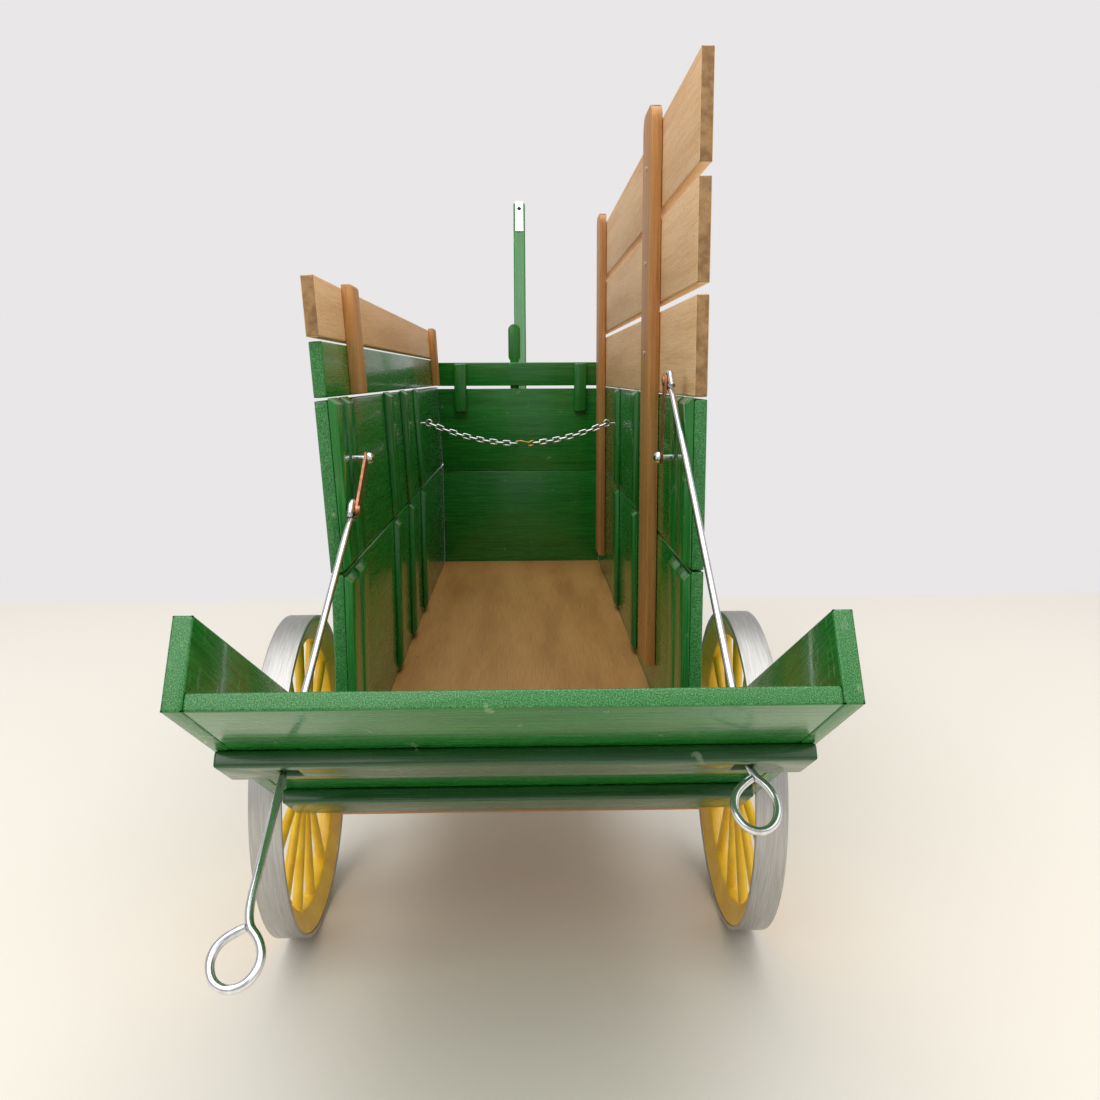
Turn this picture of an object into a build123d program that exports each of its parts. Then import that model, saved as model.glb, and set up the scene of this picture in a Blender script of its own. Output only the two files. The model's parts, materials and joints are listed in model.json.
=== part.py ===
from build123d import *
import os
from math import atan2, ceil, cos, degrees, hypot, pi, radians, sin

# One-sixth scale model of a horse-drawn farm grain wagon: green box with natural-wood extension
# boards, scoop tailboard on stay rods, yellow spoked wheels with metal tyres, raised tongue.
# Millimetres. X is across the wagon, +Y towards the tongue, +Z up. The model is laid out with
# Y = 0 at the rear end of the box and Z = 0 on the ground, then moved so that the origin is
# under the middle of the whole wagon.

# ---------------------------------------------------------------- driving dimensions
BOARD = 6.35            # all box boards are quarter-inch stock
BOX_W = 180.0           # outside width of the box
BOX_L = 622.0           # length of the side boards
FLOOR_Z = 108.0         # top of the load floor above the ground
JOINT_Z = 105.6         # height of the joint between lower and upper side boards, above the floor
SIDE_Z = 188.0          # top of the upper side boards, above the floor
LEAN = 3.2              # outward lean of the left upper boards, degrees

CLEAT_T = 4.0           # cleats stand this far in from the side boards
CLEAT_W = 22.0
CLEAT_FOOT = 4.0        # bottom of the lower cleats above the floor
REAR_CLEATS = (0.0, 29.0)               # start of each rear cleat along the box
LEFT_CLEATS = (190.0, 280.0, 370.0)
RIGHT_CLEATS = (230.0, 370.0)
CHAIN_Y = 370.0 + CLEAT_W / 2           # the cross chain hangs between the last pair of cleats
CHAIN_Z = 160.0                         # its eyes, above the floor
CHAIN_SAG = 17.0
CHAIN_WIRE = 0.55

GATE_Y = 615.5          # rear face of the front gate
GATE_JOINT = 98.7       # joint between the two lower gate boards, above the floor
GATE_SLIT = 186.4       # top of the second gate board
GATE_TOP = 213.8
SEAM = 0.05             # half the gap between boards that meet edge to edge

BANG_Z = (189.0, 241.2, 294.4)          # bottoms of the three bang boards, above the floor
BANG_H = (47.4, 47.8, 50.0)
UPRIGHT_W = 40.0
UPRIGHT_Y = (125.0, 520.0)
UPRIGHT_TOP = 352.0
UPRIGHT_BOTTOM = 22.0

EXT_GREEN = (189.4, 215.4)              # left third board, bottom and top above the floor
EXT_WOOD = (217.2, 245.0)
STAKE_Y = (66.0, 560.0)
STAKE_W = 18.0

HINGE_Y = -4.5          # tailboard hinge line, behind the box end
HINGE_DROP = 9.0        # and below the floor's top
TAIL_TILT = 32.5        # slope of the open tailboard, degrees
PANEL_S = (5.0, 198.0)  # panel's start and end along the slope from the hinge line
PANEL_TOP = 3.9         # panel's upper face above the hinge line
PANEL_HALF = 105.0
WING_T = 7.0
WING_H = 26.0                  # at the outer end of the scoop
WING_HEEL = (34.0, 39.5)       # distance from the hinge and height where the wing is tallest
BATTEN_T = 6.5
MID_BATTEN = (116.0, 141.0, 111.0)      # start, end along the slope, half length
HINGE_BATTEN = (29.0, 59.0, 104.0)
HOLE_S = 128.5          # stay-rod slot, along the slope
HOLE_X = (81.4, 89.2)
HOLE_LENGTH = 11.8

PIN_Y = 36.0            # stay pins, in the second rear cleats
PIN_Z = 158.0
LINK_X = (-76.6, 73.2)  # middle of the left and right link straps
LINK_L = 40.0
LINK_RIGHT_TILT = 15.0  # the right link stands this far back from upright, degrees
ROD_X = (-79.0, 75.6)   # middle of the left and right stay-rod eyes
ROD_R = 1.6
ROD_L = 210.0           # eye to the start of the ring
ROD_EYE = 3.9
RING_R = 9.6
ROD_TARGET_X = 86.6     # where the rods pass the tailboard

REAR_Y = 66.0           # rear axle
REAR_R = 88.0           # rear wheel radius
FRONT_Y = 535.0
FRONT_R = 78.0
WHEEL_X = 114.0         # inner face of the tyres
TREAD = 16.0
TYRE_T = 2.0
SPOKES = 14
RIM_LIP = 2.4            # square part of the yellow rim under the tyre
FELLOE = 11.6            # whole depth of the rim's sloping section
AXLE_R = 3.0
BORE_GAP = 0.08

TONGUE_L = 480.0
TONGUE_TILT = 72.0      # raised from level, degrees
TONGUE_W = 13.6
TONGUE_T = 11.0
TONGUE_Y = 634.0        # tongue bolt
TONGUE_Z = 57.5
POST_X = -6.0           # line post on the front gate
POST_BOTTOM = 22.0      # above the floor
POST_TOP = 254.0

INNER = BOX_W / 2 - BOARD               # inner face of a side board
OUTER = BOX_W / 2
nodes = {}


# ---------------------------------------------------------------- small makers
def block(x0, x1, y0, y1, z0, z1, ease=0.0):
    solid = Box(x1 - x0, y1 - y0, z1 - z0, align=(Align.MIN, Align.MIN, Align.MIN))
    if ease:
        solid = chamfer(solid.edges(), ease)
    return Pos(x0, y0, z0) * solid


def rod_between(start, end, radius):
    run = Vector(*end) - Vector(*start)
    return Solid.make_cylinder(radius, run.length, Plane(origin=start, z_dir=run))


def across(x0, x1, y, z, radius):
    """Round bar along X."""
    return rod_between((x0, y, z), (x1, y, z), radius)


def mirror_x(shape):
    return mirror(shape, Plane.YZ)


def group(*solids):
    return Compound(children=[part for item in solids for part in item.solids()])


def above_floor(height):
    return FLOOR_Z + height


def lean_left(shape):
    """Turn a left-hand piece outwards about the top outer edge of the lower side board."""
    pivot = Location((-OUTER, 0, above_floor(JOINT_Z)))
    return pivot * Rot(0, -LEAN, 0) * pivot.inverse() * shape


def left_point(x, y, z):
    """Where a point fixed to the left upper board lies once that board leans."""
    reach, rise = x + OUTER, z - above_floor(JOINT_Z)
    turn = radians(LEAN)
    return (-OUTER + reach * cos(turn) - rise * sin(turn), y,
            above_floor(JOINT_Z) + rise * cos(turn) + reach * sin(turn))


# ---------------------------------------------------------------- wagon box
def make_box():
    floor = block(-INNER + 0.1, INNER - 0.1, 0, GATE_Y - 0.2, FLOOR_Z - BOARD, FLOOR_Z)
    nodes["floor_panel"] = floor
    sill_bottom = FLOOR_Z - BOARD - BOARD
    sills = [block(-OUTER, OUTER, y, y + 20, sill_bottom, FLOOR_Z - BOARD, 0.5)
             for y in (0.0, 180.0, 300.0, 420.0, 598.0)]
    nodes["floor_sills"] = group(*sills)
    lower_top = above_floor(JOINT_Z) - 0.4
    lower = block(INNER, OUTER, 0, BOX_L, FLOOR_Z - BOARD, lower_top, 0.6)
    upper = block(INNER, OUTER, 0, BOX_L, above_floor(JOINT_Z) + 0.4, above_floor(SIDE_Z), 0.6)
    nodes["right_lower_side"] = lower
    nodes["left_lower_side"] = mirror_x(lower)
    nodes["right_upper_side"] = upper
    nodes["left_upper_side"] = lean_left(mirror_x(upper))


def cleat(y, z0, z1):
    """Upright strip on the right inner face with sloped ends."""
    solid = block(INNER - CLEAT_T, INNER, y, y + CLEAT_W, above_floor(z0), above_floor(z1))
    ends = solid.faces().filter_by(Axis.Z).edges().filter_by(Axis.Y).group_by(Axis.X)[0]
    return chamfer(ends, 3.0)


def make_cleats():
    right = REAR_CLEATS + RIGHT_CLEATS
    left = REAR_CLEATS + LEFT_CLEATS
    gap = 1.6
    nodes["right_cleats"] = group(
        *[cleat(y, CLEAT_FOOT, JOINT_Z - gap) for y in right],
        *[cleat(y, JOINT_Z + gap, SIDE_Z + 1) for y in right])
    nodes["left_cleats"] = group(
        *[mirror_x(cleat(y, CLEAT_FOOT, JOINT_Z - gap)) for y in left],
        *[lean_left(mirror_x(cleat(y, JOINT_Z + gap, SIDE_Z + 1))) for y in left])


def make_left_extension():
    green = block(-OUTER, -INNER, 0, BOX_L, above_floor(EXT_GREEN[0]), above_floor(EXT_GREEN[1]), 0.6)
    wood = block(-OUTER, -INNER, -4, BOX_L, above_floor(EXT_WOOD[0]), above_floor(EXT_WOOD[1]), 0.6)
    nodes["left_third_board"] = lean_left(green)
    nodes["left_top_board"] = lean_left(wood)
    stakes = []
    for y in STAKE_Y:
        stake = block(-INNER, -INNER + BOARD, y, y + STAKE_W,
                      above_floor(EXT_GREEN[0]) + 0.5, above_floor(EXT_WOOD[1]) + 1.5)
        stake = fillet(stake.faces().sort_by(Axis.Z)[-1].edges().filter_by(Axis.Y)[-1:], 2.5)
        stakes.append(lean_left(stake))
    nodes["left_stakes"] = group(*stakes)


def make_front_gate():
    side, wide = INNER - 0.05, INNER + 7.0
    y0, y1 = GATE_Y, GATE_Y + BOARD
    beside = block(-OUTER - 20, -side, y0 - 1, y1 + 1, FLOOR_Z, above_floor(JOINT_Z))
    leaning = lean_left(block(-OUTER - 20, -side, y0 - 1, y1 + 1, above_floor(JOINT_Z) - 2,
                              above_floor(GATE_TOP) + 10))
    middle = block(-wide, side, y0, y1, above_floor(GATE_JOINT) + SEAM, above_floor(GATE_SLIT), 0.4)
    top = block(-wide, side, y0, y1, above_floor(GATE_SLIT) + 3.0, above_floor(GATE_TOP), 0.6)
    nodes["front_gate_boards"] = group(
        block(-side, side, y0, y1, FLOOR_Z - BOARD, above_floor(GATE_JOINT) - SEAM, 0.4),
        middle - beside - leaning, top - leaning)
    battens = [block(x, x + 13, y0 - 6, y0, above_floor(162), above_floor(GATE_TOP) - 1, 1.0)
               for x in (-70.0, 57.0)]
    nodes["front_gate_battens"] = group(*battens)
    neck, head = 4.6, 6.4
    with BuildPart() as post:
        with BuildSketch(Plane((POST_X, y1, above_floor(0)), x_dir=(1, 0, 0), z_dir=(0, -1, 0))):
            with Locations((0, POST_BOTTOM)):
                Rectangle(2 * neck, POST_TOP - 20 - POST_BOTTOM, align=(Align.CENTER, Align.MIN))
            with Locations((0, POST_TOP - 20)):
                SlotOverall(40, 2 * head, rotation=90)
        extrude(amount=-BOARD)
    nodes["line_post"] = post.part


# ---------------------------------------------------------------- lift-out bang boards
def make_bang_boards():
    for name, bottom, height in zip(("lower", "middle", "upper"), BANG_Z, BANG_H):
        nodes[f"bang_board_{name}"] = block(INNER, OUTER, 0, BOX_L, above_floor(bottom),
                                            above_floor(bottom + height), 0.7)
    uprights = []
    for y in UPRIGHT_Y:
        solid = block(INNER - 0.3 - BOARD, INNER - 0.3, y, y + UPRIGHT_W,
                      above_floor(UPRIGHT_BOTTOM), above_floor(UPRIGHT_TOP))
        corners = solid.faces().sort_by(Axis.Z)[-1].edges().filter_by(Axis.X)
        uprights.append(fillet(corners, 9.0))
    nodes["bang_board_uprights"] = group(*uprights)
    fixings = []
    for y in UPRIGHT_Y:
        for bottom, height in zip(BANG_Z, BANG_H):
            centre = above_floor(bottom + height / 2)
            pad = across(INNER - 0.3, INNER, y + UPRIGHT_W / 2, centre, 3.0)
            nail = across(INNER - BOARD - 0.9, INNER - BOARD - 0.3, y + UPRIGHT_W / 2, centre, 1.4)
            fixings += [pad, nail]
    nodes["bang_board_nails"] = group(*fixings)


# ---------------------------------------------------------------- scoop tailboard
HINGE_Z = FLOOR_Z - HINGE_DROP
SLOPE = Location((0, HINGE_Y, HINGE_Z)) * Rot(-TAIL_TILT, 0, 0)


def sloped(x0, x1, s0, s1, h0, h1, ease=0.0):
    """Block in tailboard terms: across, along the slope from the hinge, and above the hinge."""
    return SLOPE * block(x0, x1, -s1, -s0, h0, h1, ease)


def rod_slots():
    slots = []
    for x0, x1 in (HOLE_X, (-HOLE_X[1], -HOLE_X[0])):
        slots.append(sloped(x0, x1, HOLE_S - HOLE_LENGTH / 2, HOLE_S + HOLE_LENGTH / 2, -15, 10))
    return slots


def make_tailboard():
    s0, s1 = PANEL_S
    under = PANEL_TOP - BOARD
    slots = rod_slots()
    panel = sloped(-PANEL_HALF, PANEL_HALF, s0, s1, under, PANEL_TOP, 0.5)
    nodes["tailboard_panel"] = panel - slots[0] - slots[1]
    wing_foot = 16.0
    heel_s, heel_h = WING_HEEL
    with BuildPart() as wing:
        with BuildSketch(Plane((PANEL_HALF, 0, 0), x_dir=(0, -1, 0), z_dir=(1, 0, 0))):
            with BuildLine():
                Polyline((s0, -PANEL_TOP), (s0, -under), (s1, -under), (s1, -PANEL_TOP - WING_H),
                         (heel_s, -PANEL_TOP - heel_h),
                         (wing_foot, -PANEL_TOP), close=True)
            make_face()
        extrude(amount=WING_T)
    right = SLOPE * chamfer(wing.part.edges(), 0.5)
    nodes["tailboard_right_wing"] = right
    nodes["tailboard_left_wing"] = mirror_x(right)
    m0, m1, half = MID_BATTEN
    batten = sloped(-half, half, m0, m1, under - BATTEN_T, under, 0.8)
    nodes["tailboard_mid_batten"] = batten - slots[0] - slots[1]
    b0, b1, half = HINGE_BATTEN
    nodes["tailboard_hinge_batten"] = sloped(-half, half, b0, b1, under - BATTEN_T, under, 0.8)


KNUCKLE_R = 2.6
HINGE_ROD_R = 1.5
HINGE_HALF = 97.0
HINGES_X = (-70.0, 0.0, 70.0)


def make_hinge():
    """A steel rod through knuckles on the rear sill and on three tailboard straps."""
    bore = across(-100, 100, HINGE_Y, HINGE_Z, HINGE_ROD_R + BORE_GAP)
    rod = across(-HINGE_HALF, HINGE_HALF, HINGE_Y, HINGE_Z, HINGE_ROD_R)
    nodes["hinge_rod"] = rod
    nut_plane = Plane((HINGE_HALF - 5, HINGE_Y, HINGE_Z), z_dir=(1, 0, 0))
    nut = extrude(nut_plane * RegularPolygon(3.6, 6), amount=2.6) - rod
    nodes["hinge_nuts"] = group(nut, mirror_x(nut))
    brackets, straps = [], []
    sill_face = 0.0
    for x in HINGES_X:
        for side in (-1, 1):
            centre = x + side * 7.0
            knuckle = across(centre - 2.5, centre + 2.5, HINGE_Y, HINGE_Z, KNUCKLE_R)
            foot = block(centre - 2.5, centre + 2.5, HINGE_Y, sill_face, HINGE_Z - KNUCKLE_R,
                         HINGE_Z + 1.0)
            brackets.append(knuckle + foot - bore)
        under = PANEL_TOP - BOARD
        strap = across(x - 4.2, x + 4.2, HINGE_Y, HINGE_Z, KNUCKLE_R)
        strap += sloped(x - 4.2, x + 4.2, 0.5, 28.0, under - 1.4, under)
        straps.append(strap - bore)
    nodes["hinge_brackets"] = group(*brackets)
    nodes["tailboard_straps"] = group(*straps)


# ---------------------------------------------------------------- stay rods
def slope_point(s, h):
    turn = radians(TAIL_TILT)
    return (HINGE_Y - s * cos(turn) + h * sin(turn), HINGE_Z + s * sin(turn) + h * cos(turn))


PASS_Y, PASS_Z = slope_point(HOLE_S, PANEL_TOP - BOARD)
RIGHT_PIN = (INNER - CLEAT_T, PIN_Y, above_floor(PIN_Z))
LEFT_PIN = left_point(-INNER + CLEAT_T, PIN_Y, above_floor(PIN_Z))
LEFT_PULL = atan2(LEFT_PIN[2] - PASS_Z, LEFT_PIN[1] - PASS_Y)
RIGHT_TURN = radians(90 - LINK_RIGHT_TILT)
RIGHT_EYE = (ROD_X[1], PIN_Y - LINK_L * cos(RIGHT_TURN), RIGHT_PIN[2] + LINK_L * sin(RIGHT_TURN))
LEFT_EYE = (ROD_X[0], LEFT_PIN[1] - LINK_L * cos(LEFT_PULL), LEFT_PIN[2] - LINK_L * sin(LEFT_PULL))


def stay_pin(base, side, link_x):
    """Round-headed pin: shank from the cleat inwards, and a domed head inside the strap."""
    inner_end = link_x - side * 1.0
    shank = across(base[0] + side * 3.5, inner_end, base[1], base[2], 1.5)
    head = Pos(inner_end, base[1], base[2]) * Sphere(3.0)
    cut = block(-3.4, 3.4, -4, 4, -4, 4)
    dome = head & (Pos(inner_end - side * 3.4, base[1], base[2]) * cut)
    return shank + dome


def stay_link(pin, eye, side, link_x):
    """Flat strap with a hole at the pin and a rivet out through the rod's eye."""
    run = hypot(eye[1] - pin[1], eye[2] - pin[2])
    turn = degrees(atan2(eye[2] - pin[2], eye[1] - pin[1]))
    place = Location((link_x, pin[1], pin[2])) * Rot(turn, 0, 0)
    strap = Plane.YZ * Pos(run / 2, 0) * SlotCenterToCenter(run, 6.4)
    body = Pos(-0.6, 0, 0) * extrude(strap, amount=1.2)
    body -= Solid.make_cylinder(1.5 + BORE_GAP, 6, Plane((-3, 0, 0), z_dir=(1, 0, 0)))
    rivet = across(-0.6 * side, 3.7 * side, run, 0, 1.3)
    rivet += across(-1.4 * side, -0.6 * side, run, 0, 2.4)
    return place * (body + rivet)


def stay_rod(eye, side):
    """Straight rod with a small eye at the top and a round pull ring at the bottom."""
    target = Vector(side * ROD_TARGET_X, PASS_Y, PASS_Z)
    centre = Vector(*eye)
    heading = (target - centre).normalized()
    start = centre + heading * ROD_EYE
    end = start + heading * (ROD_L - ROD_EYE)
    shaft = rod_between(tuple(start), tuple(end), ROD_R)
    eye_ring = Location(Plane(tuple(centre), z_dir=(1, 0, 0))) * Torus(ROD_EYE, 1.1)
    ring_centre = end + heading * RING_R
    ring_normal = heading.cross(Vector(1, 0, 0)).normalized()
    pull = Location(Plane(tuple(ring_centre), z_dir=tuple(ring_normal))) * Torus(RING_R, ROD_R)
    return shaft + eye_ring + pull


def make_stays():
    nodes["stay_pins"] = group(stay_pin(RIGHT_PIN, 1, LINK_X[1]), stay_pin(LEFT_PIN, -1, LINK_X[0]))
    nodes["right_stay_link"] = stay_link(RIGHT_PIN, RIGHT_EYE, 1, LINK_X[1])
    nodes["left_stay_link"] = stay_link(LEFT_PIN, LEFT_EYE, -1, LINK_X[0])
    nodes["right_stay_rod"] = stay_rod(RIGHT_EYE, 1)
    nodes["left_stay_rod"] = stay_rod(LEFT_EYE, -1)


# ---------------------------------------------------------------- cross chain
EYE_RING = 2.6
EYE_REACH = 6.4         # from the cleat face to the middle of the screw eye's ring
LINK_OUT = 8.6          # outside length of a chain link
LINK_WIDE = 4.6
LEFT_CHAIN_EYE = left_point(-INNER + CLEAT_T + EYE_REACH, CHAIN_Y, above_floor(CHAIN_Z))
RIGHT_CHAIN_EYE = (INNER - CLEAT_T - EYE_REACH, CHAIN_Y, above_floor(CHAIN_Z))


def chain_height(x):
    """Sagging line between the two eyes."""
    x0, x1 = LEFT_CHAIN_EYE[0], RIGHT_CHAIN_EYE[0]
    along = (x - x0) / (x1 - x0)
    line = LEFT_CHAIN_EYE[2] + along * (RIGHT_CHAIN_EYE[2] - LEFT_CHAIN_EYE[2])
    return line - CHAIN_SAG * 4 * along * (1 - along)


def oval_link(length, width):
    outline = SlotOverall(length - 2 * CHAIN_WIRE, width - 2 * CHAIN_WIRE).wire()
    start = outline.position_at(0)
    section = Plane(start, z_dir=outline.tangent_at(0)) * Circle(CHAIN_WIRE)
    return sweep(section, path=outline)


def chain_links(x_start, x_end, count):
    """Oval links end to end along the sagging line, each turned a quarter from the last. An odd
    count lays both end links flat, as the screw eye and the hook need them."""
    link = oval_link(LINK_OUT, LINK_WIDE)
    made = []
    for i in range(count):
        x = x_start + (x_end - x_start) * (i + 0.5) / count
        slope = chain_height(x + 0.5) - chain_height(x - 0.5)
        quarter = 90 * (i % 2)
        place = Location((x, CHAIN_Y, chain_height(x))) * Rot(0, -degrees(atan2(slope, 1)), 0)
        made.append(place * Rot(quarter, 0, 0) * link)
    return made


def make_chain():
    eyes = []
    for side, centre in ((1, RIGHT_CHAIN_EYE), (-1, LEFT_CHAIN_EYE)):
        ring = Location(Plane(centre, z_dir=(0, 1, 0))) * Torus(EYE_RING, 0.6)
        shank = across(centre[0] + side * (EYE_RING - 0.2), centre[0] + side * (EYE_REACH + 3),
                       centre[1], centre[2], 0.6)
        eyes.append(ring + shank)
    nodes["chain_eyes"] = group(*eyes)
    pitch = LINK_OUT - 4 * CHAIN_WIRE
    x0 = LEFT_CHAIN_EYE[0] + EYE_RING - 0.6 - CHAIN_WIRE * 2 - 0.3
    x1 = RIGHT_CHAIN_EYE[0] - EYE_RING + 0.6 + CHAIN_WIRE * 2 + 0.3
    hook_half = 6.6
    middle = 4.0
    left_end, right_start = middle - hook_half - 0.2, middle + hook_half + 0.8
    left_count = 2 * ceil((left_end - x0) / pitch / 2) + 1
    right_count = 2 * ceil((x1 - right_start) / pitch / 2) + 1
    nodes["chain_left_links"] = group(*chain_links(x0, left_end, left_count))
    nodes["chain_right_links"] = group(*chain_links(right_start, x1, right_count))
    low = chain_height(middle)
    with BuildLine(Plane((middle, CHAIN_Y, low), x_dir=(1, 0, 0), z_dir=(0, -1, 0))) as route:
        FilletPolyline((-hook_half - 1.2, -4.6), (-hook_half - 1.2, 1.3), (-3.0, 1.9), (3.0, 0.4),
                       (hook_half + 1.2, 2.6), (hook_half + 1.2, -1.6), (3.4, -2.2), radius=1.3)
    path = route.wire()
    section = Plane(path.position_at(0), z_dir=path.tangent_at(0)) * Circle(0.7)
    nodes["chain_hook"] = sweep(section, path=path)


# ---------------------------------------------------------------- wheels and running gear
HUB_X = (WHEEL_X - 0.2, WHEEL_X + 20.0)


def wheel_parts(radius):
    """Tyre and moulded wheel about the X axis, centred on the origin, for the right-hand side."""
    x0, x1 = WHEEL_X, WHEEL_X + TREAD
    middle = (x0 + x1) / 2
    band = radius - TYRE_T

    def ring(points):
        face = make_face(Polyline(*points, close=True))
        return revolve(face, Axis.X)

    edge = 0.5
    tyre = ring([(x0 + edge, radius), (x1 - edge, radius), (x1, radius - edge), (x1, band),
                 (x0, band), (x0, radius - edge)])
    lip = 0.6
    felloe = ring([(x0 + lip, band), (x1 - lip, band), (x1 - lip, band - RIM_LIP),
                   (middle + 3, band - FELLOE), (middle - 3, band - FELLOE), (x0 + lip, band - RIM_LIP)])
    hub = ring([(HUB_X[0], 3), (HUB_X[0], 8.4), (HUB_X[0] + 4, 9.0), (middle - 4.5, 11.6),
                (middle + 4.5, 11.6), (HUB_X[1] - 5, 9.0), (HUB_X[1], 7.6), (HUB_X[1], 3)])
    wheel = felloe + hub
    for i in range(SPOKES):
        angle = 2 * pi * i / SPOKES
        out = (0, sin(angle), cos(angle))
        root = (middle, 10.0 * out[1], 10.0 * out[2])
        spoke = Solid.make_cone(2.0, 3.1, band - 7.4 - 10.0, Plane(root, z_dir=out))
        wheel += spoke
    bore = across(HUB_X[0] - 2, HUB_X[1] + 2, 0, 0, AXLE_R + BORE_GAP)
    return tyre, wheel - bore


def axle_pins(y, z, beam_end):
    """Steel pins let into the beam ends, and a cap nut outside each wheel."""
    end = HUB_X[1] + 3.4
    pin = across(beam_end, end, y, z, AXLE_R)
    nut = extrude(Plane((HUB_X[1] + 0.4, y, z), z_dir=(1, 0, 0)) * RegularPolygon(5.6, 6), amount=3.0)
    nut = nut - pin
    return group(pin, mirror_x(pin)), group(nut, mirror_x(nut))


def make_wheels():
    for where, y, radius in (("rear", REAR_Y, REAR_R), ("front", FRONT_Y, FRONT_R)):
        tyre, wheel = wheel_parts(radius)
        place = Pos(0, y, radius)
        nodes[f"{where}_right_tyre"] = place * tyre
        nodes[f"{where}_right_wheel"] = place * wheel
        nodes[f"{where}_left_tyre"] = mirror_x(place * tyre)
        nodes[f"{where}_left_wheel"] = mirror_x(place * wheel)


BEAM_HALF = 101.0       # thick middle of an axle beam
ARM_HALF = 113.0        # thin ends
REAR_BEAM = (66.0, 92.0)
FRONT_BEAM = (62.0, 83.4)
REACH_Z = (84.0, 92.8)
KING_R = 2.5


def axle_beam(y, z0, z1, half_depth):
    beam = block(-BEAM_HALF, BEAM_HALF, y - half_depth, y + half_depth, z0, z1, 0.8)
    for side in (-1, 1):
        x0, x1 = sorted((side * (BEAM_HALF - 1), side * ARM_HALF))
        beam += block(x0, x1, y - half_depth + 2, y + half_depth - 2, z0 + 4, z1 - 0.8)
    return beam


def make_gear():
    under_sill = FLOOR_Z - 2 * BOARD
    rear = axle_beam(REAR_Y, *REAR_BEAM, 10.0)
    pins, nuts = axle_pins(REAR_Y, REAR_R, BEAM_HALF - 8)
    nodes["rear_axle"] = rear - pins
    nodes["rear_axle_pins"] = pins
    nodes["rear_axle_nuts"] = nuts
    nodes["rear_bolster"] = block(-OUTER, OUTER, REAR_Y - 9, REAR_Y + 9, REAR_BEAM[1],
                                  FLOOR_Z - BOARD, 0.6)
    nodes["reach"] = (block(-6, 6, REAR_Y + 10, FRONT_Y + 9, *REACH_Z, 0.8)
                      - rod_between((0, FRONT_Y, 80), (0, FRONT_Y, 100), KING_R))
    nodes["front_bolster"] = (block(-OUTER, OUTER, FRONT_Y - 9, FRONT_Y + 9, REACH_Z[1],
                                    FLOOR_Z - BOARD, 0.6)
                              - rod_between((0, FRONT_Y, 80), (0, FRONT_Y, 110), KING_R))
    king_top = FLOOR_Z - BOARD - 1.5
    king = rod_between((0, FRONT_Y, 50.4), (0, FRONT_Y, king_top), KING_R)
    king += rod_between((0, FRONT_Y, 48.6), (0, FRONT_Y, 50.4), 4.6)
    nodes["king_pin"] = king
    bore = rod_between((0, FRONT_Y, 40), (0, FRONT_Y, 110), KING_R + BORE_GAP)
    front = axle_beam(FRONT_Y, *FRONT_BEAM, 9.0)
    pins, nuts = axle_pins(FRONT_Y, FRONT_R, BEAM_HALF - 8)
    nodes["front_axle"] = front - pins - bore
    nodes["front_axle_pins"] = pins
    nodes["front_axle_nuts"] = nuts
    inside = TONGUE_W / 2 + 0.5
    beam_bottom = FRONT_BEAM[0]
    hound = block(inside, inside + 8, FRONT_Y - 46, TONGUE_Y + 9, beam_bottom - 9, beam_bottom, 0.8)
    tail = block(-inside - 8, inside + 8, FRONT_Y - 58, FRONT_Y - 46, beam_bottom - 9, beam_bottom, 0.8)
    bolt_hole = across(-30, 30, TONGUE_Y, TONGUE_Z, 2.0)
    bolts = []
    for side in (-1, 1):
        x = side * (inside + 4)
        shank = rod_between((x, FRONT_Y, beam_bottom - 9), (x, FRONT_Y, FRONT_BEAM[1] - 3), 1.6)
        head = rod_between((x, FRONT_Y, beam_bottom - 10.6), (x, FRONT_Y, beam_bottom - 9), 3.0)
        bolts.append(shank + head)
    hound -= bolt_hole
    nodes["hounds"] = group(hound - bolts[1], mirror_x(hound) - bolts[0], tail)
    nodes["front_axle"] = nodes["front_axle"] - bolts[0] - bolts[1]
    nodes["hound_bolts"] = group(*bolts)
    width = inside + 8
    bolt = across(-width, width, TONGUE_Y, TONGUE_Z, 2.0)
    for side in (-1, 1):
        bolt += across(*sorted((side * width, side * (width + 2.2))), TONGUE_Y, TONGUE_Z, 3.8)
    nodes["tongue_bolt"] = bolt


# ---------------------------------------------------------------- tongue
STRAP_L = 36.0
TIP_HOLE_R = 2.4


def make_tongue():
    """Drawn level and pointing forwards, then turned up about its bolt."""
    place = Location((0, TONGUE_Y, TONGUE_Z)) * Rot(TONGUE_TILT, 0, 0)
    half_w, half_t = TONGUE_W / 2, TONGUE_T / 2
    end = TONGUE_L - 6.0
    pole = block(-half_w, half_w, -7, end, -half_t, half_t, 1.2)
    round_end = block(-half_w, half_w, -7, 7, -half_t, half_t)
    butt = across(-half_w, half_w, 0, 0, half_t)
    pole = pole - round_end + butt + block(-half_w, half_w, 0, 7.2, -half_t, half_t)
    pole -= across(-20, 20, 0, 0, 2.0 + BORE_GAP)
    hole_y = end - 8
    hole = rod_between((0, hole_y, -20), (0, hole_y, 20), TIP_HOLE_R)
    nodes["tongue_pole"] = place * (pole - hole)
    plate = 1.0
    wide = half_w - 2.2
    strap = block(-wide, wide, end - STRAP_L, end + plate, half_t, half_t + plate)
    strap += block(-wide, wide, end - STRAP_L, end + plate, -half_t - plate, -half_t)
    strap += block(-wide, wide, end, end + plate, -half_t - plate, half_t + plate)
    rivets = []
    for y in (end - STRAP_L + 6, end - STRAP_L + 17):
        for side in (-1, 1):
            base = side * (half_t + plate)
            rivets.append(rod_between((0, y, base - side * 0.2), (0, y, base + side * 0.9), 1.9))
    nodes["tongue_tip_strap"] = place * (strap - hole + rivets)


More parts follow.
